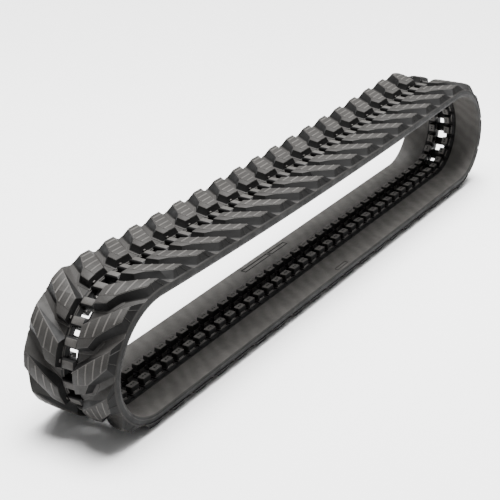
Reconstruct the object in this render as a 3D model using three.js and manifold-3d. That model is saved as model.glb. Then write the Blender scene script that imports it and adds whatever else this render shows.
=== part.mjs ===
// Endless rubber crawler track: steel cores in a rubber belt, standing free as a closed loop.
// Units are mm. +X runs along the track, +Y is its left side, +Z is up.
// The origin is on the ground under the middle of the loop.
import * as THREE from 'three';
import { mergeVertices } from 'three/addons/utils/BufferGeometryUtils.js';
import Module from 'manifold-3d';

const manifold = await Module();
manifold.setup();

// ---- driving dimensions -------------------------------------------------
const CORE_PITCH = 52.5; // spacing of the steel cores along the neutral line
const CORE_COUNT = 90;
const BELT_LENGTH = CORE_PITCH * CORE_COUNT;
const HALF_WIDTH = 150;

// Heights are measured from the neutral line, positive towards the tread.
const INNER_FACE = -10;
const OUTER_FACE = 14;
const LUG_TOP = 38;

// Side view of the loop, followed from the bottom middle towards the rear.
const SHOULDER_RADIUS = 157.5; // lower shoulder and end of the loop
const SHOULDER_TURN = THREE.MathUtils.degToRad(115);
const UPPER_RADIUS = 201.5; // gentler upper shoulder
const SAG_HALF_TURN = 0.034; // the top run hangs in a shallow arc
const END_TURN = Math.PI - SHOULDER_TURN + SAG_HALF_TURN;
const END_SHIFT = (UPPER_RADIUS - SHOULDER_RADIUS) * Math.sin(SHOULDER_TURN)
  + UPPER_RADIUS * Math.sin(SAG_HALF_TURN);
const END_LENGTH = SHOULDER_RADIUS * SHOULDER_TURN + UPPER_RADIUS * END_TURN;
const SAG_RADIUS = (BELT_LENGTH - 2 * END_LENGTH - 2 * END_SHIFT)
  / (2 * SAG_HALF_TURN + 2 * Math.sin(SAG_HALF_TURN));
const GROUND_HALF_LENGTH = SAG_RADIUS * Math.sin(SAG_HALF_TURN) + END_SHIFT;

// Rubber
const WINDOW_HALF_WIDTH = 25; // the sprocket windows lie between the two rubber strips
const FIT_GAP = 0.3;
const HINGE_GAP = 0.25;
const HINGE_RELIEF = Math.tan(THREE.MathUtils.degToRad(6.5));
const LOOP_OPENING_GAP = 1;

// Tread lug outlines on its top face and at its foot: [distance along the belt, distance from
// the middle]. The front wall is steep near the middle and runs out gently at the belt's edge.
const LUG_OUTLINE = [
  [9, 135], [7.5, 132.7], [-60, 29], [-111, 31], [-102, 64], [-78, 78], [-29, 135],
];
const LUG_FOOT_OUTLINE = [
  [45, 148.5], [-43.8, 28.2], [-45, 26.5], [-120, 28.5], [-110, 71], [-80, 92], [-47, 148.5],
];
const LUG_SINK = 2; // the lug body starts inside the belt
const CUT_MARGIN = 5; // how far a recess is cut past an open face

// Steel core, one outline across the belt: raised bar, wings and two guide horns
const CORE_HALF_LENGTH = 12;
const BAR_HALF_WIDTH = 24.4;
const BAR_TOP = 17;
const BAR_UNDERSIDE = -8;
const WING_HALF_WIDTH = 105;
const WING_HALF_HEIGHT = 4.5;
const HORN_INNER = 18.5;
const HORN_OUTER = 44;
const HORN_TIP_LEVEL = -36;
const HORN_TIP_INNER = 20;
const HORN_TIP_OUTER = 40;
const HALF_CORE_OUTLINE = [
  [BAR_HALF_WIDTH, BAR_TOP], [BAR_HALF_WIDTH, WING_HALF_HEIGHT],
  [WING_HALF_WIDTH, WING_HALF_HEIGHT], [WING_HALF_WIDTH, -WING_HALF_HEIGHT],
  [HORN_OUTER, -WING_HALF_HEIGHT], [HORN_TIP_OUTER, HORN_TIP_LEVEL],
  [HORN_TIP_INNER, HORN_TIP_LEVEL], [HORN_INNER, BAR_UNDERSIDE],
];

// Steel cords, drawn as one flat band along each side of the windows
const CORD_INNER = 21;
const CORD_OUTER = 24.6;
const CORD_HALF_HEIGHT = 3;

// Bodies, as windows counted from the bottom middle towards the rear.
const REAR_BEND = [17.5, 20.5, 24.5, 27.5];
const FRONT_BEND = [62.5, 65.5, 69.5, 72.5];
const TOP_SPLIT = 44.5;
const SAG_FACET = 6; // cores between two facet edges of the sagging run
const CORES_PER_SET = 5;
const SEAM_TOLERANCE = 0.005;

// ---- the path of the neutral line ---------------------------------------
const pathPieces = [
  [GROUND_HALF_LENGTH, 0],
  [SHOULDER_RADIUS * SHOULDER_TURN, 1 / SHOULDER_RADIUS],
  [UPPER_RADIUS * END_TURN, 1 / UPPER_RADIUS],
  [2 * SAG_RADIUS * SAG_HALF_TURN, -1 / SAG_RADIUS],
  [UPPER_RADIUS * END_TURN, 1 / UPPER_RADIUS],
  [SHOULDER_RADIUS * SHOULDER_TURN, 1 / SHOULDER_RADIUS],
  [GROUND_HALF_LENGTH, 0],
];

// Point of the neutral line and the outward direction there, at a distance along the belt.
function pointOnPath(distance) {
  let left = ((distance % BELT_LENGTH) + BELT_LENGTH) % BELT_LENGTH;
  let heading = Math.PI;
  let x = 0;
  let z = LUG_TOP;
  for (const [length, curvature] of pathPieces) {
    const step = Math.min(left, length);
    if (curvature === 0) {
      x += step * Math.cos(heading);
      z += step * Math.sin(heading);
    } else {
      const turned = heading - step * curvature;
      x += (Math.sin(heading) - Math.sin(turned)) / curvature;
      z += (Math.cos(turned) - Math.cos(heading)) / curvature;
      heading = turned;
    }
    left -= step;
    if (left <= 0) break;
  }
  return { x, z, outX: -Math.sin(heading), outZ: Math.cos(heading) };
}

function wrapOnPath(point) {
  const place = pointOnPath(point[0]);
  return [place.x + point[2] * place.outX, point[1], place.z + point[2] * place.outZ];
}

// ---- solids in flat belt coordinates (along, across, height) -------------
const WELD_DISTANCE = 1e-5;
const SAME_CORNER = 1e-3;

function solidOf(geometry) {
  const bare = geometry.index ? geometry.toNonIndexed() : geometry.clone();
  bare.deleteAttribute('normal');
  bare.deleteAttribute('uv');
  const welded = mergeVertices(bare, WELD_DISTANCE);
  const mesh = new manifold.Mesh({
    numProp: 3,
    vertProperties: new Float32Array(welded.attributes.position.array),
    triVerts: new Uint32Array(welded.index.array),
  });
  return new manifold.Manifold(mesh);
}

function boxSolid(along, across, height) {
  const size = [along, across, height].map(([low, high]) => high - low);
  const middle = [along, across, height].map(([low, high]) => (low + high) / 2);
  const geometry = new THREE.BoxGeometry(...size);
  geometry.translate(...middle);
  return solidOf(geometry);
}

// A prism whose lower and upper outlines may differ; both list the same number of corners.
function taperedSolid(lowerOutline, upperOutline, lowLevel, highLevel) {
  const clockwise = THREE.ShapeUtils.isClockWise(lowerOutline.map(([a, b]) => new THREE.Vector2(a, b)));
  const lower = clockwise ? [...lowerOutline].reverse() : lowerOutline;
  const upper = clockwise ? [...upperOutline].reverse() : upperOutline;
  const shape = new THREE.Shape(lower.map(([a, b]) => new THREE.Vector2(a, b)));
  const depth = highLevel - lowLevel;
  const geometry = new THREE.ExtrudeGeometry(shape, { depth, bevelEnabled: false });
  geometry.translate(0, 0, lowLevel);
  const position = geometry.attributes.position;
  for (let i = 0; i < position.count; i += 1) {
    if (position.getZ(i) < highLevel - depth / 2) continue;
    const corner = lower.findIndex(([a, b]) => (
      Math.hypot(a - position.getX(i), b - position.getY(i)) < SAME_CORNER));
    position.setXY(i, upper[corner][0], upper[corner][1]);
  }
  return solidOf(geometry);
}

// An outline across the belt (across, height), drawn out along it.
function barSolid(outline, [start, end]) {
  const shape = new THREE.Shape(outline.map(([across, height]) => new THREE.Vector2(across, height)));
  const geometry = new THREE.ExtrudeGeometry(shape, { depth: end - start, bevelEnabled: false });
  geometry.rotateX(Math.PI / 2);
  geometry.rotateZ(Math.PI / 2);
  geometry.translate(start, 0, 0);
  return solidOf(geometry);
}

const SLAB_REACH = 60; // more than the belt's thickness either side of the neutral line
const SLAB_MARGIN = 10;

// A slab across the belt whose two end faces lean away from the hinge line at the neutral level.
function slabSolid(start, end, startGap, endGap) {
  const reach = SLAB_REACH;
  const lean = reach * HINGE_RELIEF;
  const outline = [
    [start + startGap, 0], [start + startGap + lean, reach], [end - endGap - lean, reach],
    [end - endGap, 0], [end - endGap - lean, -reach], [start + startGap + lean, -reach],
  ];
  const shape = new THREE.Shape(outline.map(([a, b]) => new THREE.Vector2(a, b)));
  const width = 2 * (HALF_WIDTH + SLAB_MARGIN);
  const geometry = new THREE.ExtrudeGeometry(shape, { depth: width, bevelEnabled: false });
  geometry.rotateX(Math.PI / 2);
  geometry.translate(0, width / 2, 0);
  return solidOf(geometry);
}

function joined(solids) {
  return solids.reduce((whole, solid) => whole.add(solid));
}

const placed = (outline, along, side) => outline.map(([a, b]) => [a + along, b * side]);

function lugSolid(along, side) {
  const foot = placed(LUG_FOOT_OUTLINE, along, side);
  const top = placed(LUG_OUTLINE, along, side);
  return taperedSolid(foot, top, OUTER_FACE - LUG_SINK, LUG_TOP);
}

function sideRange(side, inner, outer) {
  return side > 0 ? [inner, outer] : [-outer, -inner];
}

// One rubber strip with its tread lugs, recessed for the steel cores it holds.
function stripSolid(firstWindow, lastWindow, side, startGap, endGap) {
  const start = firstWindow * CORE_PITCH;
  const end = lastWindow * CORE_PITCH;
  const across = sideRange(side, WINDOW_HALF_WIDTH, HALF_WIDTH);
  let strip = boxSolid([start, end], across, [INNER_FACE, OUTER_FACE]);
  const lugs = [];
  const phase = side > 0 ? 1 : 0;
  for (let k = Math.floor(firstWindow) - 1; k < lastWindow + 4; k += 1) {
    if (Math.abs(k % 2) === phase) lugs.push(lugSolid(k * CORE_PITCH, side));
  }
  strip = strip.add(joined(lugs));
  const recesses = [];
  const recessOutline = [
    [WINDOW_HALF_WIDTH - CUT_MARGIN, WING_HALF_HEIGHT + FIT_GAP],
    [WING_HALF_WIDTH + FIT_GAP, WING_HALF_HEIGHT + FIT_GAP],
    [WING_HALF_WIDTH + FIT_GAP, -WING_HALF_HEIGHT - FIT_GAP],
    [HORN_OUTER + FIT_GAP, -WING_HALF_HEIGHT - FIT_GAP],
    [HORN_OUTER + FIT_GAP, INNER_FACE - CUT_MARGIN],
    [WINDOW_HALF_WIDTH - CUT_MARGIN, INNER_FACE - CUT_MARGIN],
  ].map(([across, height]) => [across * side, height]);
  for (let k = Math.ceil(firstWindow); k < lastWindow; k += 1) {
    const half = CORE_HALF_LENGTH + FIT_GAP;
    recesses.push(barSolid(recessOutline, [k * CORE_PITCH - half, k * CORE_PITCH + half]));
  }
  return strip.subtract(joined(recesses)).intersect(slabSolid(start, end, startGap, endGap));
}

function coreSolid(k) {
  const mirrored = HALF_CORE_OUTLINE.map(([across, height]) => [-across, height]).reverse();
  const outline = [...HALF_CORE_OUTLINE, ...mirrored];
  const middle = k * CORE_PITCH;
  return barSolid(outline, [middle - CORE_HALF_LENGTH, middle + CORE_HALF_LENGTH]);
}

// Neighbouring cores of a run, held together by the two cord bands.
function coreSetSolid(firstCore, lastCore) {
  const solids = [];
  for (let k = firstCore; k <= lastCore; k += 1) solids.push(coreSolid(k));
  const start = firstCore * CORE_PITCH;
  const end = lastCore * CORE_PITCH;
  for (const side of [-1, 1]) {
    solids.push(boxSolid([start, end], sideRange(side, CORD_INNER, CORD_OUTER),
      [-CORD_HALF_HEIGHT, CORD_HALF_HEIGHT]));
  }
  return joined(solids);
}

// ---- from flat solids to the loop ----------------------------------------
function trianglesOf(solid) {
  const mesh = solid.getMesh();
  const corner = (index) => {
    const at = index * mesh.numProp;
    return [mesh.vertProperties[at], mesh.vertProperties[at + 1], mesh.vertProperties[at + 2]];
  };
  const triangles = [];
  for (let i = 0; i < mesh.triVerts.length; i += 3) {
    triangles.push([0, 1, 2].map((c) => corner(mesh.triVerts[i + c])));
  }
  return triangles;
}

// Windows where the loop turns from one facet to the next.
function facetPlanes() {
  const planes = [];
  for (let window = 0.5; window < CORE_COUNT; window += 1) {
    const inRear = window > REAR_BEND[0] && window < REAR_BEND[3] + 2;
    const inFront = window > FRONT_BEND[0] - 2 && window < FRONT_BEND[3];
    const inSag = window > REAR_BEND[3] && window < FRONT_BEND[0];
    const sagFacet = inSag && Math.floor(window) % SAG_FACET === 0;
    if (inRear || inFront || sagFacet) planes.push(window * CORE_PITCH);
  }
  return planes;
}

function liesBetween(corner, from, to) {
  const length = Math.hypot(to[1] - from[1], to[2] - from[2]);
  const toFrom = Math.hypot(corner[1] - from[1], corner[2] - from[2]);
  const toTo = Math.hypot(corner[1] - to[1], corner[2] - to[2]);
  return toFrom > 0 && toTo > 0 && toFrom + toTo - length < SEAM_TOLERANCE / 10;
}

// Makes the two sides of a cut share the same corners, so that the skin stays closed there.
function stitched(triangles, plane) {
  const corners = [];
  const sharedCorner = (point) => {
    if (Math.abs(point[0] - plane) > SEAM_TOLERANCE) return point;
    const known = corners.find((corner) => (
      Math.hypot(corner[1] - point[1], corner[2] - point[2]) < SEAM_TOLERANCE));
    if (known) return known;
    corners.push([plane, point[1], point[2]]);
    return corners[corners.length - 1];
  };
  const result = [];
  const matched = triangles.map((triangle) => triangle.map(sharedCorner));
  for (const triangle of matched) {
    const onSeam = triangle.map((point) => corners.includes(point));
    const first = [0, 1, 2].find((i) => onSeam[i] && onSeam[(i + 1) % 3]);
    if (first === undefined) {
      result.push(triangle);
    } else if (onSeam.includes(false)) {
      const [from, to, apex] = [0, 1, 2].map((i) => triangle[(first + i) % 3]);
      const between = corners.filter((corner) => liesBetween(corner, from, to));
      const fromDistance = (corner) => Math.hypot(corner[1] - from[1], corner[2] - from[2]);
      const chain = [from, ...between.sort((p, q) => fromDistance(p) - fromDistance(q)), to];
      for (let i = 1; i < chain.length; i += 1) {
        if (chain[i] !== chain[i - 1]) result.push([chain[i - 1], chain[i], apex]);
      }
    }
  }
  return result;
}

// The skin of a solid, cut at each facet edge so that it can be wrapped round the loop.
function facetedSkin(solid) {
  const { min, max } = solid.boundingBox();
  const inside = facetPlanes().filter((plane) => plane > min[0] + 1 && plane < max[0] - 1);
  const stations = [min[0] - 1, ...inside, max[0] + 1];
  const skin = [];
  for (let i = 1; i < stations.length; i += 1) {
    const limits = [stations[i - 1], stations[i]];
    const slab = boxSolid(limits, [-2 * HALF_WIDTH, 2 * HALF_WIDTH], [-HALF_WIDTH, HALF_WIDTH]);
    skin.push(...trianglesOf(solid.intersect(slab)));
  }
  return inside.reduce(stitched, skin);
}

function loopMesh(name, solid, material) {
  const triangles = facetedSkin(solid);
  const geometry = new THREE.BufferGeometry();
  const positions = new Float32Array(triangles.flat().flatMap(wrapOnPath));
  geometry.setAttribute('position', new THREE.BufferAttribute(positions, 3));
  geometry.computeVertexNormals();
  const mesh = new THREE.Mesh(geometry, material);
  mesh.name = name;
  mesh.castShadow = true;
  return mesh;
}

const BLACK_RUBBER = { color: 0x2c2b2a, roughness: 0.85, metalness: 0 };
const FORGED_STEEL = { color: 0x6b6d70, roughness: 0.5, metalness: 1 };
const rubberMaterial = () => new THREE.MeshStandardMaterial(BLACK_RUBBER);
const steelMaterial = () => new THREE.MeshStandardMaterial(FORGED_STEEL);

const track = new THREE.Group();
track.name = 'rubber_track';
const SIDES = { left: 1, right: -1 };

function addStrips(name, firstWindow, lastWindow, startGap, endGap) {
  for (const [sideName, side] of Object.entries(SIDES)) {
    const strip = stripSolid(firstWindow, lastWindow, side, startGap, endGap);
    track.add(loopMesh(`${name}_rubber_${sideName}`, strip, rubberMaterial()));
  }
}

function addCoreSets(name, firstWindow, lastWindow) {
  const first = Math.ceil(firstWindow);
  const last = Math.floor(lastWindow);
  const sets = Math.ceil((last - first + 1) / CORES_PER_SET);
  for (let i = 0; i < sets; i += 1) {
    const from = first + Math.round((i * (last - first + 1)) / sets);
    const to = first + Math.round(((i + 1) * (last - first + 1)) / sets) - 1;
    track.add(loopMesh(`${name}_core_set_${i + 1}`, coreSetSolid(from, to), steelMaterial()));
  }
}

function addBend(name, windows, partNames) {
  partNames.forEach((partName, i) => {
    const partOfBend = `${name}_${partName}`;
    addStrips(partOfBend, windows[i], windows[i + 1], HINGE_GAP, HINGE_GAP);
    let number = 1;
    for (let k = Math.ceil(windows[i]); k < windows[i + 1]; k += 1) {
      track.add(loopMesh(`${partOfBend}_core_${number}`, coreSolid(k), steelMaterial()));
      number += 1;
    }
  });
}

function addRun(name, firstWindow, lastWindow, startGap, endGap) {
  addStrips(name, firstWindow, lastWindow, startGap, endGap);
  addCoreSets(name, firstWindow, lastWindow);
}

addRun('bottom_run', FRONT_BEND[3] - CORE_COUNT, REAR_BEND[0], HINGE_GAP, HINGE_GAP);
addBend('rear_bend', REAR_BEND, ['lower', 'middle', 'upper']);
addRun('top_run_rear', REAR_BEND[3], TOP_SPLIT, HINGE_GAP, LOOP_OPENING_GAP);
addRun('top_run_front', TOP_SPLIT, FRONT_BEND[0], LOOP_OPENING_GAP, HINGE_GAP);
addBend('front_bend', FRONT_BEND, ['upper', 'middle', 'lower']);

export default track;
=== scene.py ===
import math

import bmesh
import bpy
import numpy as np
from mathutils import Euler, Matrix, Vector


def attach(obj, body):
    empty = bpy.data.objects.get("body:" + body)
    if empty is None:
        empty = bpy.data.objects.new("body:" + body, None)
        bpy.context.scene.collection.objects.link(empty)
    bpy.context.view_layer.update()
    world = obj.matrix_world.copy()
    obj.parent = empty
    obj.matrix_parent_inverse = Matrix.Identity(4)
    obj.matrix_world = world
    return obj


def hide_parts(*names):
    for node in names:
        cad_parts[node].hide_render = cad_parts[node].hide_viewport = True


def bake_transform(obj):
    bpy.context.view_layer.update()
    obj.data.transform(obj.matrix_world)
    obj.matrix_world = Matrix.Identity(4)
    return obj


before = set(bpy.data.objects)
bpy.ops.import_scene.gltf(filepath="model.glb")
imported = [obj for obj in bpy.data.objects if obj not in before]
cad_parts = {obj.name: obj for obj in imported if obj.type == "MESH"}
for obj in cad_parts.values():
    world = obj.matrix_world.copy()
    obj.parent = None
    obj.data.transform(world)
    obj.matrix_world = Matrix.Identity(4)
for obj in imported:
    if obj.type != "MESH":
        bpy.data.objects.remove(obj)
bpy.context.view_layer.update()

MM = 0.001


def add_object(name, data):
    made = bpy.data.objects.new(name, data)
    bpy.context.scene.collection.objects.link(made)
    return made


# ---- camera, at the photograph's viewing angle -------------------------------
CAMERA_PLACE = Vector((-3.2905, -2.0477, 1.9114))
CAMERA_TURN = Euler((math.radians(65.029), math.radians(1.919), math.radians(-56.888)), "XYZ")
LENS_LENGTH = 95.97  # mm, for the sensor width below
SENSOR_WIDTH = 36.0
SIGHT_LIMIT = 50.0  # m
camera_data = bpy.data.cameras.new("camera")
camera_data.lens = LENS_LENGTH
camera_data.sensor_width = SENSOR_WIDTH
camera_data.clip_end = SIGHT_LIMIT
camera = add_object("camera", camera_data)
camera.rotation_euler = CAMERA_TURN
camera.location = CAMERA_PLACE
bpy.context.scene.camera = camera

# ---- the loop's path, the same as in the CAD ----------------------------------
CORE_PITCH = 52.5
TREAD_PITCH = 2 * CORE_PITCH
CORE_COUNT = 90
BELT_LENGTH = CORE_PITCH * CORE_COUNT
LUG_TOP = 38.0  # the lug tops stand on the floor, so the neutral line is this high above it
SHOULDER_RADIUS = 157.5
SHOULDER_TURN = math.radians(115)
UPPER_RADIUS = 201.5
SAG_HALF_TURN = 0.034
END_TURN = math.pi - SHOULDER_TURN + SAG_HALF_TURN
END_SHIFT = ((UPPER_RADIUS - SHOULDER_RADIUS) * math.sin(SHOULDER_TURN)
             + UPPER_RADIUS * math.sin(SAG_HALF_TURN))
END_LENGTH = SHOULDER_RADIUS * SHOULDER_TURN + UPPER_RADIUS * END_TURN
SAG_RADIUS = ((BELT_LENGTH - 2 * END_LENGTH - 2 * END_SHIFT)
              / (2 * SAG_HALF_TURN + 2 * math.sin(SAG_HALF_TURN)))
GROUND_HALF_LENGTH = SAG_RADIUS * math.sin(SAG_HALF_TURN) + END_SHIFT
PATH = [
    (GROUND_HALF_LENGTH, 0.0),
    (SHOULDER_RADIUS * SHOULDER_TURN, 1 / SHOULDER_RADIUS),
    (UPPER_RADIUS * END_TURN, 1 / UPPER_RADIUS),
    (2 * SAG_RADIUS * SAG_HALF_TURN, -1 / SAG_RADIUS),
    (UPPER_RADIUS * END_TURN, 1 / UPPER_RADIUS),
    (SHOULDER_RADIUS * SHOULDER_TURN, 1 / SHOULDER_RADIUS),
    (GROUND_HALF_LENGTH, 0.0),
]


def wrap(flat):
    """Flat belt coordinates in mm (along, across, outward) to metres on the loop."""
    along = np.mod(flat[:, 0], BELT_LENGTH)
    x = np.zeros(len(flat))
    z = np.full(len(flat), LUG_TOP)
    heading = np.full(len(flat), math.pi)
    left = along.copy()
    for length, curvature in PATH:
        step = np.clip(left, 0, length)
        if curvature == 0.0:
            x += step * np.cos(heading)
            z += step * np.sin(heading)
        else:
            turned = heading - step * curvature
            x += (np.sin(heading) - np.sin(turned)) / curvature
            z += (np.cos(turned) - np.cos(heading)) / curvature
            heading = turned
        left = left - length
    return np.stack([x - flat[:, 2] * np.sin(heading), flat[:, 1],
                     z + flat[:, 2] * np.cos(heading)], axis=1) * MM


def on_path(core, outward=0.0):
    return Vector(wrap(np.array([[core * CORE_PITCH, 0.0, outward]]))[0])


# ---- flat shapes -----------------------------------------------------------------
def ring_faces(count, ring):
    """The faces between one ring of count corners and the next ring."""
    here, there = ring * count, (ring + 1) * count
    return [(here + i, here + (i + 1) % count, there + (i + 1) % count, there + i) for i in range(count)]


class Flat:
    """Corners and faces in flat belt coordinates, each face with a tone from 0 dark to 1 light that paints
    light and shade on it.
    """

    def __init__(self):
        self.corners = []
        self.faces = []
        self.tones = []

    def add(self, corners, faces, tones):
        start = len(self.corners)
        self.corners.extend(tuple(corner) for corner in corners)
        self.faces.extend(tuple(start + i for i in face) for face in faces)
        self.tones.extend(tones)

    def loft(self, rings, ring_tones, cap_tone, lit_edge=None, lit_tone=0.0):
        """Joins rings of equal corner count and closes the last one. The last tone in ring_tones
        goes on to the end, and the faces that start at corner lit_edge have lit_tone instead."""
        count = len(rings[0])
        corners = [corner for ring in rings for corner in ring]
        faces, tones = [], []
        for r in range(len(rings) - 1):
            ring_tone = ring_tones[min(r, len(ring_tones) - 1)]
            faces += ring_faces(count, r)
            tones += [lit_tone if i == lit_edge else ring_tone for i in range(count)]
        top = (len(rings) - 1) * count
        faces.append(tuple(range(top, top + count)))
        tones.append(cap_tone)
        self.add(corners, faces, tones)

    def add_copy(self, other, along, side):
        """Adds a copy of another shape, moved along the belt and put on one side."""
        corners = [(a + along, b * side, h) for a, b, h in other.corners]
        flip = side < 0
        faces = [tuple(reversed(face)) if flip else face for face in other.faces]
        self.add(corners, faces, other.tones)


def area(outline):
    total = 0.0
    for (a, b), (c, d) in zip(outline, outline[1:] + outline[:1]):
        total += a * d - b * c
    return total / 2


def grown(outline, amount):
    """The outline with each side moved out by amount."""
    turn = 1.0 if area(outline) > 0 else -1.0
    count = len(outline)
    result = []
    for i in range(count):
        before, here, after = outline[i - 1], outline[i], outline[(i + 1) % count]
        first = np.array([here[0] - before[0], here[1] - before[1]])
        second = np.array([after[0] - here[0], after[1] - here[1]])
        first = first / np.linalg.norm(first)
        second = second / np.linalg.norm(second)
        normal_a = turn * np.array([first[1], -first[0]])
        normal_b = turn * np.array([second[1], -second[0]])
        middle = normal_a + normal_b
        scale = amount / max(0.5, 1 + normal_a @ normal_b)
        result.append((here[0] + middle[0] * scale, here[1] + middle[1] * scale))
    return result


def level(outline, height):
    return [(a, b, height) for a, b in outline]


def between(lower, upper, share):
    return [(a + (c - a) * share, b + (d - b) * share) for (a, b), (c, d) in zip(lower, upper)]


def facing_out(outline):
    return outline if area(outline) > 0 else list(reversed(outline))


# Tread lug outlines (along, across) at its top and foot. The front wall is steep near the middle
# of the belt and runs out gently at the edge. The ribbed field ends at the smooth inner tip.
# The rim is a low raised border round the lug's foot, and the knob a small block at the inner tip.
LUG_TOP_OUTLINE = [(9, 135), (7.5, 132.7), (-60, 28), (-112, 30), (-102.5, 64), (-78, 78), (-29, 135)]
LUG_FOOT_OUTLINE = [(45, 148.5), (-43.8, 27.2), (-45, 25.5), (-120, 27), (-110, 71), (-80, 92), (-47, 148.5)]
RIBBED_OUTLINE = [(9, 135), (-60, 28), (-89.5, 29), (-78, 77.5), (-29, 135)]
RIM_OUTLINE = [(-20, 60), (-46, 22.5), (-125, 22.5), (-117, 76), (-84, 98), (-60, 96)]
KNOB_OUTLINE = [(-105, 22.5), (-96, 22.5), (-96, 28), (-105, 28)]
GENTLE_FRONT = LUG_TOP_OUTLINE[1]
OUTER_FACE = 14.0
INNER_FACE = -10.0
LUG_BASE = 12.0
TIP_TOP = 36.2
RIBBED_TOP = 37.3
# height of each ring of the lug's wall, and how far it stands out from the straight wall
LUG_RINGS = [
    (LUG_BASE, 2.4), (OUTER_FACE + 0.5, 2.0), (OUTER_FACE + 1.6, 0.9), (OUTER_FACE + 3.2, 0.2),
    (TIP_TOP - 1.5, 0.0), (TIP_TOP - 0.5, -0.35), (TIP_TOP, -1.2),
]
RIB_FIRST = 47.5
RIB_SPACING = 23.8
RIB_COUNT = 4
RIB_WIDTH = 5.2
RIB_HEIGHT = 0.7
RIB_END_GAP = 1.4
END_RIDGE_SHARES = (0.3, 0.7)  # two fine ridges down the lug's outer end, as shares of its length
END_RIDGE_TOP = 135.2
END_RIDGE_FOOT = 148.0
END_RIDGE_WIDTH = 1.8
END_RIDGE_HEIGHT = 0.45

# Face tones from 0 dark to 1 light, which paint light and shade by face type: recesses, feet and the guide
# channel painted black as shade, walls painted dark as shade, groove floors and tops painted lighter as lit
# (the tops partly as scuffed rubber), edges, ribs, ledges and tips given painted highlights, and the inner
# face painted brighter against the shade inside the loop.
TONE_DEEP_SHADE = 0.0
TONE_SIDE_SHADE = 0.12
TONE_BASE = 0.4
TONE_FLOOR_LIT = 0.55
TONE_TOP_SCUFFED_AND_LIT = 0.6
TONE_EDGE_HIGHLIGHT = 0.85
TONE_RIB_HIGHLIGHT = 1.0
TONE_INNER_BRIGHTENED = 0.9


def crossings(outline, across):
    """Where the outline crosses a line along the belt, lowest and highest."""
    found = []
    for (a, b), (c, d) in zip(outline, outline[1:] + outline[:1]):
        if (b - across) * (d - across) < 0:
            found.append(a + (across - b) / (d - b) * (c - a))
    return min(found), max(found)


BAR_SINK = 0.3  # how far a ridge reaches under the surface it stands on
BAR_TOP_SHARE = 0.3  # half the width of a ridge's top, as a share of its foot's whole width


def bar(shape, start, end, width, height, tone):
    """A low ridge along the line from start to end, narrower at its top and open underneath."""
    start, end = np.array(start, float), np.array(end, float)
    run = end - start
    run = run / np.linalg.norm(run)
    up = np.array([0.0, 0.0, 1.0]) - run * run[2]
    up = up / np.linalg.norm(up)
    side = np.cross(run, up)
    corners = []
    foot, top = side * width / 2, side * width * BAR_TOP_SHARE
    for point in (start, end):
        low, high = point - up * BAR_SINK, point + up * height
        corners += [low - foot, low + foot, high + top, high - top]
    faces = [(2, 6, 5, 1), (3, 7, 6, 2), (0, 4, 7, 3), (3, 2, 1, 0), (4, 5, 6, 7)]
    shape.add(corners, faces, [tone] * len(faces))


def make_lug():
    lug = Flat()
    # The lug's tones paint light and shade: painted highlights on the rim, the top edges, the ribs and the
    # knob, painted shade on the walls, and the gentle front face painted light as a lit floor.
    rim = facing_out(RIM_OUTLINE)
    lug.loft([level(grown(rim, 0.8), OUTER_FACE - 1.0), level(rim, OUTER_FACE + 1.1),
              level(grown(rim, -0.9), OUTER_FACE + 1.4)], [TONE_BASE, TONE_EDGE_HIGHLIGHT], TONE_FLOOR_LIT)
    foot, top = facing_out(LUG_FOOT_OUTLINE), facing_out(LUG_TOP_OUTLINE)
    rings = []
    for height, swell in LUG_RINGS:
        share = (height - LUG_BASE) / (TIP_TOP - LUG_BASE)
        rings.append(level(grown(between(foot, top, share), swell), height))
    lug.loft(rings, [TONE_BASE, TONE_BASE, TONE_SIDE_SHADE, TONE_SIDE_SHADE, TONE_EDGE_HIGHLIGHT, TONE_TOP_SCUFFED_AND_LIT], TONE_TOP_SCUFFED_AND_LIT,
             lit_edge=top.index(GENTLE_FRONT), lit_tone=TONE_FLOOR_LIT)
    ribbed = facing_out(RIBBED_OUTLINE)
    lug.loft([level(grown(ribbed, -0.2), TIP_TOP - 0.7), level(grown(ribbed, -0.4), RIBBED_TOP - 0.4),
              level(grown(ribbed, -1.2), RIBBED_TOP)], [TONE_SIDE_SHADE, TONE_EDGE_HIGHLIGHT], TONE_TOP_SCUFFED_AND_LIT)
    for i in range(RIB_COUNT):
        across = RIB_FIRST + i * RIB_SPACING
        low, high = crossings(RIBBED_OUTLINE, across)
        rib_start = (low + RIB_END_GAP, across, RIBBED_TOP)
        rib_end = (high - RIB_END_GAP, across, RIBBED_TOP)
        bar(lug, rib_start, rib_end, RIB_WIDTH, RIB_HEIGHT, TONE_RIB_HIGHLIGHT)
    top_rear, top_front = LUG_TOP_OUTLINE[-1][0], LUG_TOP_OUTLINE[0][0]
    foot_rear, foot_front = LUG_FOOT_OUTLINE[-1][0], LUG_FOOT_OUTLINE[0][0]
    for share in END_RIDGE_SHARES:
        top_end = (top_rear + share * (top_front - top_rear), END_RIDGE_TOP, RIBBED_TOP - 1.0)
        foot_end = (foot_rear + share * (foot_front - foot_rear), END_RIDGE_FOOT, LUG_BASE + 2.5)
        bar(lug, top_end, foot_end, END_RIDGE_WIDTH, END_RIDGE_HEIGHT, TONE_BASE)
    knob_rings = [level(KNOB_OUTLINE, OUTER_FACE), level(grown(KNOB_OUTLINE, -0.3), OUTER_FACE + 8.0),
                  level(grown(KNOB_OUTLINE, -1.4), OUTER_FACE + 9.6)]
    lug.loft(knob_rings, [TONE_SIDE_SHADE, TONE_EDGE_HIGHLIGHT], TONE_RIB_HIGHLIGHT)
    return lug


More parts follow.
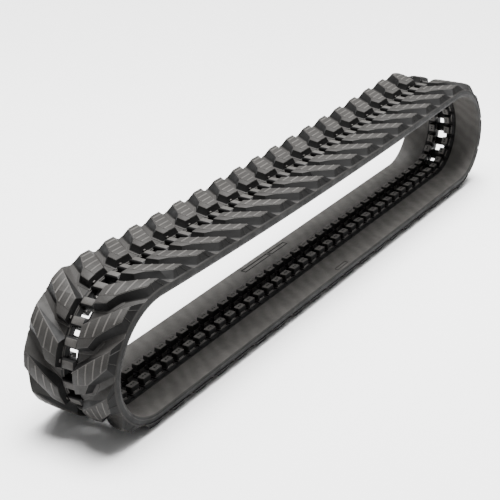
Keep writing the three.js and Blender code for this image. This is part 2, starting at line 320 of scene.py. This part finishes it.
# Belt strip on one side of the windows: its outline across the belt (across, height, tone). The tones give
# the edges painted highlights, paint shade into the groove, the walls and the guide channel, and paint the
# inner face brighter.
STRIP_OUTLINE = [
    (20.0, 11.0, TONE_EDGE_HIGHLIGHT), (22.6, 13.6, TONE_DEEP_SHADE), (28.0, 14.0, TONE_FLOOR_LIT),
    (146.4, 14.2, TONE_EDGE_HIGHLIGHT), (147.8, 13.0, TONE_SIDE_SHADE), (149.6, 2.0, TONE_SIDE_SHADE),
    (149.7, -0.8, TONE_BASE), (150.3, -1.6, TONE_TOP_SCUFFED_AND_LIT), (149.7, -2.6, TONE_SIDE_SHADE),
    (149.2, -7.6, TONE_FLOOR_LIT), (147.0, -9.7, TONE_INNER_BRIGHTENED), (140.0, -10.0, TONE_INNER_BRIGHTENED),
    (100.0, -10.0, TONE_INNER_BRIGHTENED), (56.0, -10.0, TONE_DEEP_SHADE), (24.0, -9.6, TONE_DEEP_SHADE), (20.0, -7.0, TONE_DEEP_SHADE),
]
STRIP_STEPS = 8


def make_strip():
    strip = Flat()
    corners, faces, tones = [], [], []
    count = len(STRIP_OUTLINE)
    for step in range(STRIP_STEPS + 1):
        along = TREAD_PITCH * step / STRIP_STEPS
        corners += [(along, across, height) for across, height, _ in STRIP_OUTLINE]
    for step in range(STRIP_STEPS):
        faces += ring_faces(count, step)
        tones += [tone for _, _, tone in STRIP_OUTLINE]
    strip.add(corners, [tuple(reversed(face)) for face in faces], tones)
    return strip


def rectangle(half_along, low_across, high_across, cut):
    """A rectangle with cut corners, counter-clockwise."""
    return [
        (-half_along + cut, low_across), (half_along - cut, low_across),
        (half_along, low_across + cut), (half_along, high_across - cut),
        (half_along - cut, high_across), (-half_along + cut, high_across),
        (-half_along, high_across - cut), (-half_along, low_across + cut),
    ]


def downward(outline, height):
    """A ring for a shape that grows towards the inside of the loop."""
    return [(a, b, height) for a, b in reversed(outline)]


GUIDE_TIP = -37.5
# Guide lug sections from its foot to its tip: height, half length, range across, corner cut, and
# the tone of the face from here to the next section. The fourth is the thin ledge.
# The tones paint the foot, the main wall and the web black as shade, and give the thin ledge and the tip
# painted highlights.
GUIDE_SECTIONS = [
    (-8.0, 20.0, 18.9, 51.6, 3.0, TONE_DEEP_SHADE), (-10.2, 19.8, 18.9, 51.2, 3.0, TONE_DEEP_SHADE),
    (-11.6, 19.4, 19.0, 50.0, 2.6, TONE_DEEP_SHADE), (-16.2, 18.7, 19.0, 43.8, 2.2, TONE_RIB_HIGHLIGHT),
    (-17.2, 18.3, 19.1, 42.0, 2.0, TONE_DEEP_SHADE), (-34.8, 17.4, 19.2, 41.2, 2.0, TONE_BASE),
    (-36.8, 16.6, 19.5, 40.7, 2.0, TONE_RIB_HIGHLIGHT), (GUIDE_TIP, 15.4, 20.8, 39.4, 1.8, TONE_RIB_HIGHLIGHT),
]
MARK_PLACES = (-6.0, 4.0)  # two plain raised marks on each guide lug's tip
MARK_HALF_LENGTH = 3.2
MARK_ACROSS = (27.0, 32.0)
WEB_ALONG = (19.0, 34.0)  # low web between one guide lug's foot and the next
WEB_ACROSS = (22.0, 47.0)


def box_outline(along, across):
    return [(along[0], across[0]), (along[1], across[0]), (along[1], across[1]), (along[0], across[1])]


def make_guide_lug():
    guide = Flat()
    rings = [downward(rectangle(half, low, high, cut), height)
             for height, half, low, high, cut, _ in GUIDE_SECTIONS]
    guide.loft(rings, [tone for *_, tone in GUIDE_SECTIONS[:-1]], GUIDE_SECTIONS[-1][-1])
    for place in MARK_PLACES:
        mark = box_outline((place - MARK_HALF_LENGTH, place + MARK_HALF_LENGTH), MARK_ACROSS)
        guide.loft([downward(mark, GUIDE_TIP + 0.2), downward(grown(mark, -0.4), GUIDE_TIP - 0.4)],
                   [TONE_DEEP_SHADE], TONE_SIDE_SHADE)
    web = box_outline(WEB_ALONG, WEB_ACROSS)
    guide.loft([downward(web, -9.0), downward(grown(web, -0.6), -12.6), downward(grown(web, -2.6), -13.6)],
               [TONE_DEEP_SHADE], TONE_DEEP_SHADE)
    return guide


# Sections of the rubber-covered middle of a core: half length, half width, height.
MIDDLE_CORNER_CUT = 2.0
MIDDLE_OUTSIDE = [
    (13.4, 25.4, 6.0), (13.2, 25.4, 14.0), (12.7, 25.2, 17.4), (11.2, 21.8, 19.6), (9.4, 18.4, 22.0),
    (8.0, 17.0, 22.8),
]
MIDDLE_INSIDE = [(13.6, 24.0, 6.0), (13.4, 24.0, -7.6), (12.6, 23.4, -9.2), (11.0, 22.0, -9.8)]


def make_middle_bar():
    """Rubber-covered middle of a core: raised outside, flat inside."""
    middle = Flat()
    rings = [level(rectangle(half, -wide, wide, MIDDLE_CORNER_CUT), height)
             for half, wide, height in MIDDLE_OUTSIDE]
    # Tones: the lower sides painted black as shade, then a dark wall, and a painted highlight on the top
    # edge and top; the inside is painted black as shade.
    middle.loft(rings, [TONE_DEEP_SHADE, TONE_DEEP_SHADE, TONE_DEEP_SHADE, TONE_SIDE_SHADE, TONE_EDGE_HIGHLIGHT], TONE_EDGE_HIGHLIGHT)
    rings = [downward(rectangle(half, -wide, wide, MIDDLE_CORNER_CUT), height)
             for half, wide, height in MIDDLE_INSIDE]
    middle.loft(rings, [TONE_DEEP_SHADE], TONE_DEEP_SHADE)
    return middle


PLATE_FIELDS = ((-132.0, -38.0), (-28.0, 118.0))
PLATE_LOW, PLATE_HIGH = 112.0, 128.0
PLATE_LINE = 3.0
PLATE_HIGH_LINE = 4.4


def make_plate():
    """Blank moulded label frame, two fields in a line, on the inner face."""
    plate = Flat()
    for start, end in PLATE_FIELDS:
        for across, width in ((PLATE_LOW, PLATE_LINE), (PLATE_HIGH, PLATE_HIGH_LINE)):
            bar_inside(plate, (start, across), (end, across), width)
        for along in (start, end):
            bar_inside(plate, (along, PLATE_LOW), (along, PLATE_HIGH), PLATE_LINE)
    return plate


def bar_inside(shape, start, end, width):
    """A low flat-topped ridge on the inner face, painted black as shade."""
    run = np.array([end[0] - start[0], end[1] - start[1]], float)
    run = run / np.linalg.norm(run)
    side = np.array([-run[1], run[0]]) * width / 2
    a, b = np.array(start) - run * width / 2, np.array(end) + run * width / 2
    outline = facing_out([tuple(a - side), tuple(b - side), tuple(b + side), tuple(a + side)])
    shape.loft([downward(outline, INNER_FACE + 0.5), downward(grown(outline, -0.3), INNER_FACE - 1.1)],
               [TONE_DEEP_SHADE], TONE_DEEP_SHADE)


OVAL_POINTS = 16
OVAL_HALF_STRAIGHT = 28.0
OVAL_END_RADIUS = 6.0
OVAL_ACROSS = 131.0
OVAL_LINE = 1.8


def make_oval_mark():
    """Small oval moulded outline on the inner face."""
    mark = Flat()
    points = []
    for i in range(OVAL_POINTS):
        turn = 2 * math.pi * i / OVAL_POINTS
        end = OVAL_HALF_STRAIGHT if math.cos(turn) > 0 else -OVAL_HALF_STRAIGHT
        points.append((end + OVAL_END_RADIUS * math.cos(turn),
                       OVAL_ACROSS + OVAL_END_RADIUS * math.sin(turn)))
    for a, b in zip(points, points[1:] + points[:1]):
        bar_inside(mark, a, b, OVAL_LINE)
    return mark


# ---- the flat belt, put together from repeated shapes ----------------------------------
LUG, STRIP, GUIDE, MIDDLE = make_lug(), make_strip(), make_guide_lug(), make_middle_bar()


def belt_between(first_core, last_core):
    """All belt shapes that reach into the stretch between two places, in flat coordinates. Right
    tread lugs stand at even cores and left ones at odd cores."""
    belt = Flat()
    low = math.floor(first_core)
    high = math.ceil(last_core)
    for core in range(low - 1, high + 2):
        along = core * CORE_PITCH
        belt.add_copy(MIDDLE, along, 1)
        for side in (1, -1):
            belt.add_copy(GUIDE, along, side)
    for core in range(low - 3, high + 4):
        belt.add_copy(LUG, core * CORE_PITCH, 1 if core % 2 else -1)
    for core in range(low - 2, high + 2):
        if core % 2 == 0:
            for side in (1, -1):
                belt.add_copy(STRIP, core * CORE_PITCH, side)
    return belt


BENDS = ((17.4, 28.4), (61.6, 72.6))  # core places between which a bend gets extra cuts
BEND_STEP = CORE_PITCH / 5
END_CLEARANCE = 1.0  # mm from a piece's end within which no extra cut is made
MERGE_LIMIT = 1e-4
SHARP_ANGLE = math.radians(32)


def in_bend(along):
    core = along / CORE_PITCH
    return any(first < core < last for first, last in BENDS)


def cut_across(work, along, **options):
    """Cuts every face of a flat mesh at one place along the belt."""
    bmesh.ops.bisect_plane(work, geom=work.verts[:] + work.edges[:] + work.faces[:], dist=MERGE_LIMIT,
                           plane_co=(along, 0, 0), **options)


def belt_mesh(name, first_core, last_core, extras=()):
    """The stretch of belt between two places as one mesh on the loop, cut clean at both ends."""
    belt = belt_between(first_core, last_core)
    for extra, along, side in extras:
        belt.add_copy(extra, along, side)
    mesh = bpy.data.meshes.new(name)
    mesh.from_pydata(belt.corners, [], belt.faces)
    tone = mesh.attributes.new("tone", "FLOAT", "FACE")
    tone.data.foreach_set("value", belt.tones)
    work = bmesh.new()
    work.from_mesh(mesh)
    low, high = first_core * CORE_PITCH, last_core * CORE_PITCH
    for limit, side in ((low, -1), (high, 1)):
        cut_across(work, limit, plane_no=(side, 0, 0), clear_outer=True)
    station = math.ceil(low / BEND_STEP) * BEND_STEP
    while station < high - END_CLEARANCE:
        if station > low + END_CLEARANCE and in_bend(station):
            cut_across(work, station, plane_no=(1, 0, 0))
        station += BEND_STEP
    work.to_mesh(mesh)
    work.free()
    flat = np.empty(len(mesh.vertices) * 3, dtype=np.float32)
    mesh.vertices.foreach_get("co", flat)
    flat = flat.reshape(-1, 3).astype(float)
    place = mesh.attributes.new("belt", "FLOAT_VECTOR", "POINT")
    place.data.foreach_set("vector", (flat * MM).astype(np.float32).ravel())
    mesh.vertices.foreach_set("co", wrap(flat).astype(np.float32).ravel())
    mesh.update()
    mesh.shade_smooth()
    mesh.set_sharp_from_angle(angle=SHARP_ANGLE)
    piece = add_object(name, mesh)
    piece.data.materials.append(rubber)
    return piece


# ---- materials ----------------------------------------------------------------------
def node(tree, kind, **inputs):
    made = tree.nodes.new(kind)
    for key, value in inputs.items():
        made.inputs[key.replace("_", " ")].default_value = value
    return made


def ramp(tree, source, stops):
    made = tree.nodes.new("ShaderNodeValToRGB")
    while len(made.color_ramp.elements) < len(stops):
        made.color_ramp.elements.new(0.5)
    for element, (place, colour) in zip(made.color_ramp.elements, stops):
        element.position = place
        element.color = (*colour, 1.0)
    tree.links.new(source, made.inputs["Fac"])
    return made.outputs["Color"]


# sockets of a colour mix node
MIX_SHARE, MIX_FIRST, MIX_SECOND, MIX_RESULT = 0, 6, 7, 2


def mixed(tree, blend, share, first, second):
    """Two colours mixed, with a share that is a number or another node's output."""
    made = tree.nodes.new("ShaderNodeMix")
    made.data_type = "RGBA"
    made.blend_type = blend
    if isinstance(share, float):
        made.inputs[MIX_SHARE].default_value = share
    else:
        tree.links.new(share, made.inputs[MIX_SHARE])
    tree.links.new(first, made.inputs[MIX_FIRST])
    tree.links.new(second, made.inputs[MIX_SECOND])
    return made.outputs[MIX_RESULT]


def grey(value):
    return (value, value, value)


WAVE_TURN = math.radians(-37)
TONE_TOLERANCE = 0.02


def rubber_material():
    """Moulded black rubber: a colour for each face's tone, which paints light and shade by face type, with
    fine grain and mould waviness.
    """
    material = bpy.data.materials.new("moulded_rubber")
    material.use_nodes = True
    tree = material.node_tree
    links = tree.links
    shader = tree.nodes["Principled BSDF"]
    shader.inputs["Specular IOR Level"].default_value = 0.16
    tone = tree.nodes.new("ShaderNodeAttribute")
    tone.attribute_name = "tone"
    place = tree.nodes.new("ShaderNodeAttribute")
    place.attribute_name = "belt"
    # the ramp turns the tones into painted light and shade: near black for shaded recesses and walls,
    # lighter for lit tops and floors, lightest for painted highlights on edges and ribs and for the
    # brightened inner face
    colour = ramp(tree, tone.outputs["Fac"], [
        (0.0, (0.0020, 0.0019, 0.0019)), (0.12, (0.0028, 0.0027, 0.0026)), (0.5, (0.0190, 0.0180, 0.0169)),
        (0.7, (0.0262, 0.0248, 0.0234)), (1.0, (0.066, 0.0628, 0.059))])
    cloud = node(tree, "ShaderNodeTexNoise", Scale=9.0, Detail=4.0, Roughness=0.55)
    links.new(place.outputs["Vector"], cloud.inputs["Vector"])
    cloud_tint = ramp(tree, cloud.outputs["Fac"], [(0.3, grey(0.80)), (0.7, grey(1.18))])
    colour = mixed(tree, "MULTIPLY", 1.0, colour, cloud_tint)
    # inner face only: faint slanted waves over the embedded cores
    turned = tree.nodes.new("ShaderNodeMapping")
    turned.inputs["Rotation"].default_value = (0.0, 0.0, WAVE_TURN)
    links.new(place.outputs["Vector"], turned.inputs["Vector"])
    waves = node(tree, "ShaderNodeTexWave", Scale=7.5, Distortion=4.5, Detail=2.0)
    waves.inputs["Detail Scale"].default_value = 1.5
    links.new(turned.outputs["Vector"], waves.inputs["Vector"])
    wave_tint = ramp(tree, waves.outputs["Fac"], [(0.1, grey(0.88)), (0.9, grey(1.06))])
    inner = tree.nodes.new("ShaderNodeMath")
    inner.operation = "COMPARE"
    inner.inputs[1].default_value = TONE_INNER_BRIGHTENED
    inner.inputs[2].default_value = TONE_TOLERANCE
    links.new(tone.outputs["Fac"], inner.inputs[0])
    waved = mixed(tree, "MULTIPLY", 1.0, colour, wave_tint)
    colour = mixed(tree, "MIX", inner.outputs["Value"], colour, waved)
    speck = node(tree, "ShaderNodeTexNoise", Scale=420.0, Detail=3.0, Roughness=0.6)
    links.new(place.outputs["Vector"], speck.inputs["Vector"])
    speck_tint = ramp(tree, speck.outputs["Fac"], [(0.35, grey(0.86)), (0.65, grey(1.12))])
    colour = mixed(tree, "MULTIPLY", 1.0, colour, speck_tint)
    links.new(colour, shader.inputs["Base Color"])
    rough = node(tree, "ShaderNodeTexNoise", Scale=30.0, Detail=5.0, Roughness=0.6)
    links.new(place.outputs["Vector"], rough.inputs["Vector"])
    spread = tree.nodes.new("ShaderNodeMapRange")
    spread.inputs["From Min"].default_value = 0.3
    spread.inputs["From Max"].default_value = 0.7
    spread.inputs["To Min"].default_value = 0.50
    spread.inputs["To Max"].default_value = 0.70
    links.new(rough.outputs["Fac"], spread.inputs["Value"])
    links.new(spread.outputs["Result"], shader.inputs["Roughness"])
    swell = node(tree, "ShaderNodeTexNoise", Scale=22.0, Detail=2.0, Roughness=0.4)
    links.new(place.outputs["Vector"], swell.inputs["Vector"])
    wavy = node(tree, "ShaderNodeBump", Strength=0.35, Distance=0.004)
    links.new(swell.outputs["Fac"], wavy.inputs["Height"])
    grain = node(tree, "ShaderNodeBump", Strength=0.35, Distance=0.0006)
    links.new(speck.outputs["Fac"], grain.inputs["Height"])
    links.new(wavy.outputs["Normal"], grain.inputs["Normal"])
    links.new(grain.outputs["Normal"], shader.inputs["Normal"])
    return material


def steel_material():
    """Forged steel with dark scale, lighter patches and small pits."""
    material = bpy.data.materials.new("forged_steel")
    material.use_nodes = True
    tree = material.node_tree
    links = tree.links
    shader = tree.nodes["Principled BSDF"]
    shader.inputs["Metallic"].default_value = 1.0
    where = tree.nodes.new("ShaderNodeTexCoord")
    scale = node(tree, "ShaderNodeTexNoise", Scale=90.0, Detail=6.0, Roughness=0.65)
    links.new(where.outputs["Object"], scale.inputs["Vector"])
    colour = ramp(tree, scale.outputs["Fac"], [(0.35, (0.09, 0.085, 0.08)), (0.65, (0.24, 0.23, 0.22))])
    links.new(colour, shader.inputs["Base Color"])
    spread = tree.nodes.new("ShaderNodeMapRange")
    spread.inputs["To Min"].default_value = 0.35
    spread.inputs["To Max"].default_value = 0.7
    links.new(scale.outputs["Fac"], spread.inputs["Value"])
    links.new(spread.outputs["Result"], shader.inputs["Roughness"])
    pits = node(tree, "ShaderNodeBump", Strength=0.4, Distance=0.0005)
    links.new(scale.outputs["Fac"], pits.inputs["Height"])
    links.new(pits.outputs["Normal"], shader.inputs["Normal"])
    return material


rubber = rubber_material()
steel = steel_material()

# ---- pieces of the belt ------------------------------------------------------------
LOOP_OPENING = 44.5  # core place where the model of the loop is open
OPENING_HALF_GAP = 0.004  # in core pitches
OVAL_ALONG = -72.0
inner_marks = [(make_plate(), 0.0, 1), (make_oval_mark(), OVAL_ALONG, -1)]

# Each straight piece: the core places where it starts and ends, its body, and what is added to it.
STRAIGHT = [
    ("belt_bottom", -16, 16, "bottom_run", inner_marks),
    ("belt_top_rear", 29, LOOP_OPENING - OPENING_HALF_GAP, "top_run_rear", ()),
    ("belt_top_front", LOOP_OPENING + OPENING_HALF_GAP, 61, "top_run_front", ()),
]
for name, first, last, body, extras in STRAIGHT:
    piece = belt_mesh(name, first, last, extras)
    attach(piece, body)
    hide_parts(body + "_rubber_left", body + "_rubber_right")

# Each piece on a bend: the core places where it starts and ends, the two bodies at its ends, and the
# body whose rubber it stands for. There are two more pieces than such bodies, so two have none.
BENDING = [
    ("belt_rear_1", 16, 19, "bottom_run", "rear_bend_lower", "rear_bend_lower"),
    ("belt_rear_2", 19, 22.5, "rear_bend_lower", "rear_bend_middle", "rear_bend_middle"),
    ("belt_rear_3", 22.5, 26, "rear_bend_middle", "rear_bend_upper", "rear_bend_upper"),
    ("belt_rear_4", 26, 29, "rear_bend_upper", "top_run_rear", None),
    ("belt_front_4", 61, 64, "top_run_front", "front_bend_upper", None),
    ("belt_front_3", 64, 67.5, "front_bend_upper", "front_bend_middle", "front_bend_upper"),
    ("belt_front_2", 67.5, 71, "front_bend_middle", "front_bend_lower", "front_bend_middle"),
    ("belt_front_1", 71, 74, "front_bend_lower", "bottom_run", "front_bend_lower"),
]
BLEND_INSET = 0.25  # in core pitches
for name, first, last, body_a, body_b, stands_for in BENDING:
    piece = belt_mesh(name, first, last)
    on_path(first + BLEND_INSET)
    on_path(last - BLEND_INSET)
    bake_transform(piece)
    if stands_for:
        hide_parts(stands_for + "_rubber_left", stands_for + "_rubber_right")

for name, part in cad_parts.items():
    if "core" in name:
        part.data.materials.clear()
        part.data.materials.append(steel)

# ---- floor and light ------------------------------------------------------------------
FLOOR_HALF = 30.0
FLOOR_COLOUR = 0.86
FLOOR_ROUGHNESS = 0.9
SKY_STRENGTH = 0.27
PANEL_PLACE, PANEL_AIM = (0.3, 0.1, 3.0), (0.0, 0.0, 0.2)
PANEL_LENGTH, PANEL_WIDTH = 4.5, 1.6
PANEL_POWER = 190
SUN_FROM = (0.3, 0.05, 1.5)
SUN_STRENGTH = 12.2
SUN_SPREAD = math.radians(35)

floor_mesh = bpy.data.meshes.new("floor")
floor_corners = [(x * FLOOR_HALF, y * FLOOR_HALF, 0) for x, y in ((-1, -1), (1, -1), (1, 1), (-1, 1))]
floor_mesh.from_pydata(floor_corners, [], [(0, 1, 2, 3)])
floor = add_object("floor", floor_mesh)
pale = bpy.data.materials.new("pale_floor")
pale.use_nodes = True
floor_shader = pale.node_tree.nodes["Principled BSDF"]
floor_shader.inputs["Base Color"].default_value = (*grey(FLOOR_COLOUR), 1)
floor_shader.inputs["Roughness"].default_value = FLOOR_ROUGHNESS
floor.data.materials.append(pale)

world = bpy.data.worlds.new("studio")
world.use_nodes = True
sky = world.node_tree.nodes["Background"]
sky.inputs["Color"].default_value = (*grey(1.0), 1)
sky.inputs["Strength"].default_value = SKY_STRENGTH
bpy.context.scene.world = world


def pointing(place, aim):
    """The turn of a lamp that shines from place to aim."""
    return (Vector(aim) - Vector(place)).to_track_quat("-Z", "Y").to_euler()


panel_data = bpy.data.lights.new("top_panel", "AREA")
panel_data.shape = "RECTANGLE"
panel_data.size = PANEL_LENGTH
panel_data.size_y = PANEL_WIDTH
panel_data.energy = PANEL_POWER
panel = add_object("top_panel", panel_data)
panel.location = PANEL_PLACE
panel.rotation_euler = pointing(PANEL_PLACE, PANEL_AIM)

sun_data = bpy.data.lights.new("sky_panel", "SUN")
sun_data.energy = SUN_STRENGTH
sun_data.angle = SUN_SPREAD
sun = add_object("sky_panel", sun_data)
sun.rotation_euler = pointing(SUN_FROM, (0, 0, 0))
